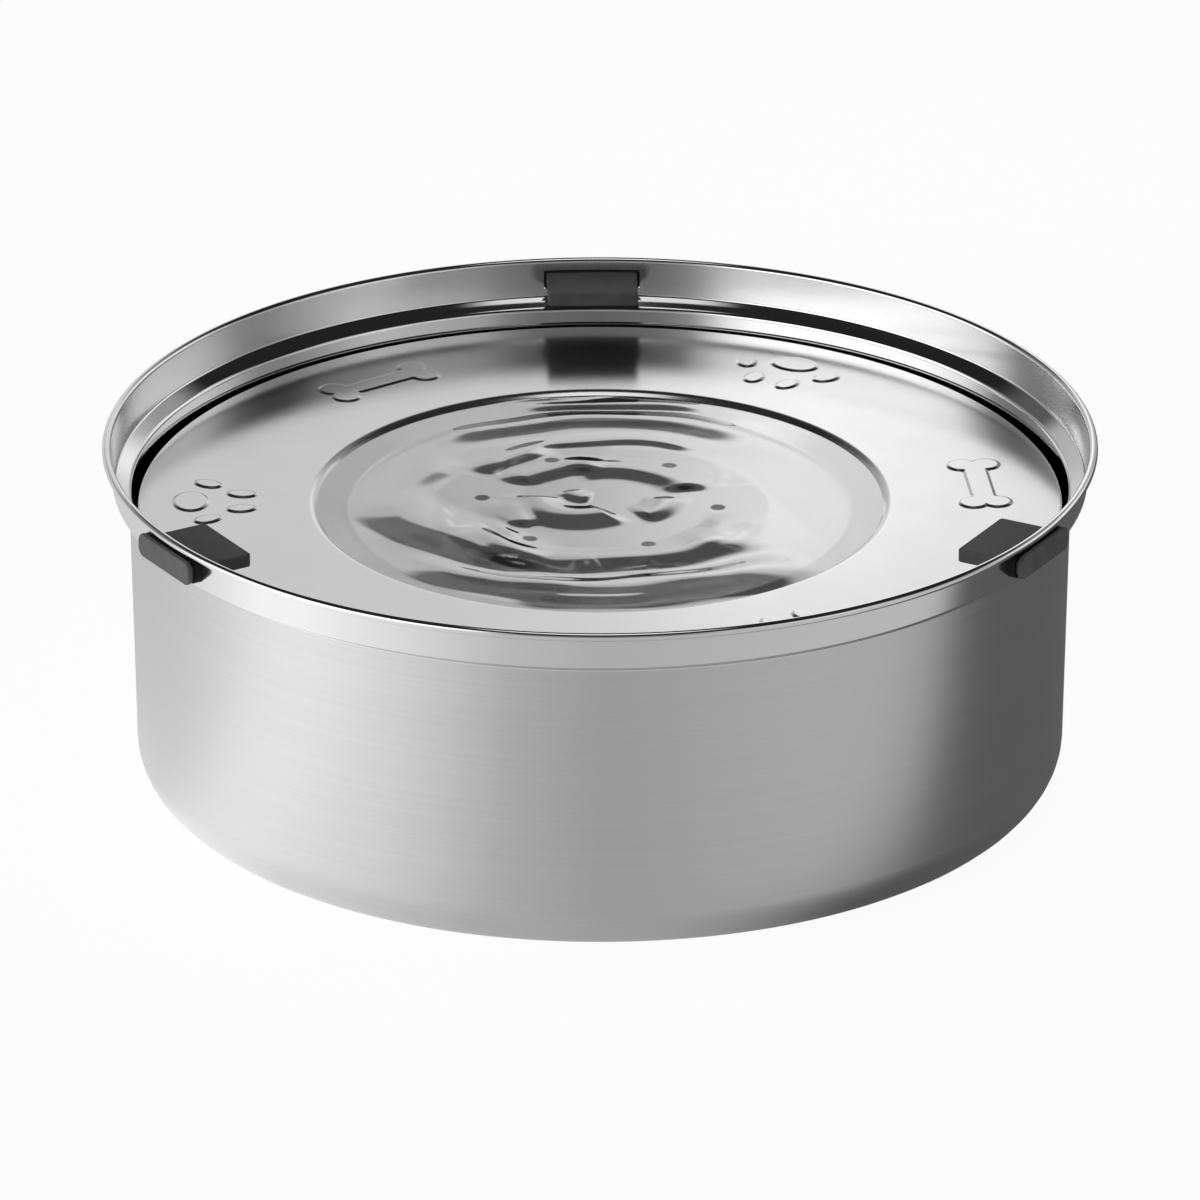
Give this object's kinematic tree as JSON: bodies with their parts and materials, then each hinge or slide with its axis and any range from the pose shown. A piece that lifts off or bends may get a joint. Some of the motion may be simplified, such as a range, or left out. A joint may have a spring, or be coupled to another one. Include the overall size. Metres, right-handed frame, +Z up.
{
  "type": "floating water bowl",
  "caption": "Round steel pet water bowl with a floating dished disc that meters the water, held under rubber latches that slide through slots in the collar.",
  "frame": {"origin": "centre of the base, on the surface that the bowl stands on", "axes": "+Z up along the bowl's axis, +Y towards the rear latch, the front of the bowl faces -Y"},
  "size_m": [0.26, 0.2611, 0.0935],
  "materials": {
    "bowl_steel": "brushed wall, polished collar and rim",
    "disc_steel": "fine satin with polished raised figures",
    "float_steel": "plain drawn sheet",
    "seal_rubber": "matt black moulded rubber",
    "latch_rubber": "matt black moulded rubber"
  },
  "bodies": {
    "bowl": {"bowl_shell": "bowl_steel", "slot_seal_rear": "seal_rubber", "slot_seal_left": "seal_rubber", "slot_seal_right": "seal_rubber"},
    "disc": {"disc_plate": "disc_steel", "float_pan": "float_steel"},
    "latch_rear": {"latch_rear": "latch_rubber"},
    "latch_left": {"latch_left": "latch_rubber"},
    "latch_right": {"latch_right": "latch_rubber"}
  },
  "joints": [
    {"name": "disc_float", "type": "slide", "parent": "bowl", "child": "disc", "axis": [0, 0, 1], "range_m": [-0.0567, 0.009], "stiffness_N_per_m": 211.6, "springref_m": 0.015},
    {"name": "latch_rear_slide", "type": "slide", "parent": "bowl", "child": "latch_rear", "axis": [0, 1, 0], "range_m": [0, 0.012]},
    {"name": "latch_left_slide", "type": "slide", "parent": "bowl", "child": "latch_left", "axis": [-0.866, -0.5, 0], "range_m": [0, 0.012]},
    {"name": "latch_right_slide", "type": "slide", "parent": "bowl", "child": "latch_right", "axis": [0.866, -0.5, 0], "range_m": [0, 0.012]}
  ]
}
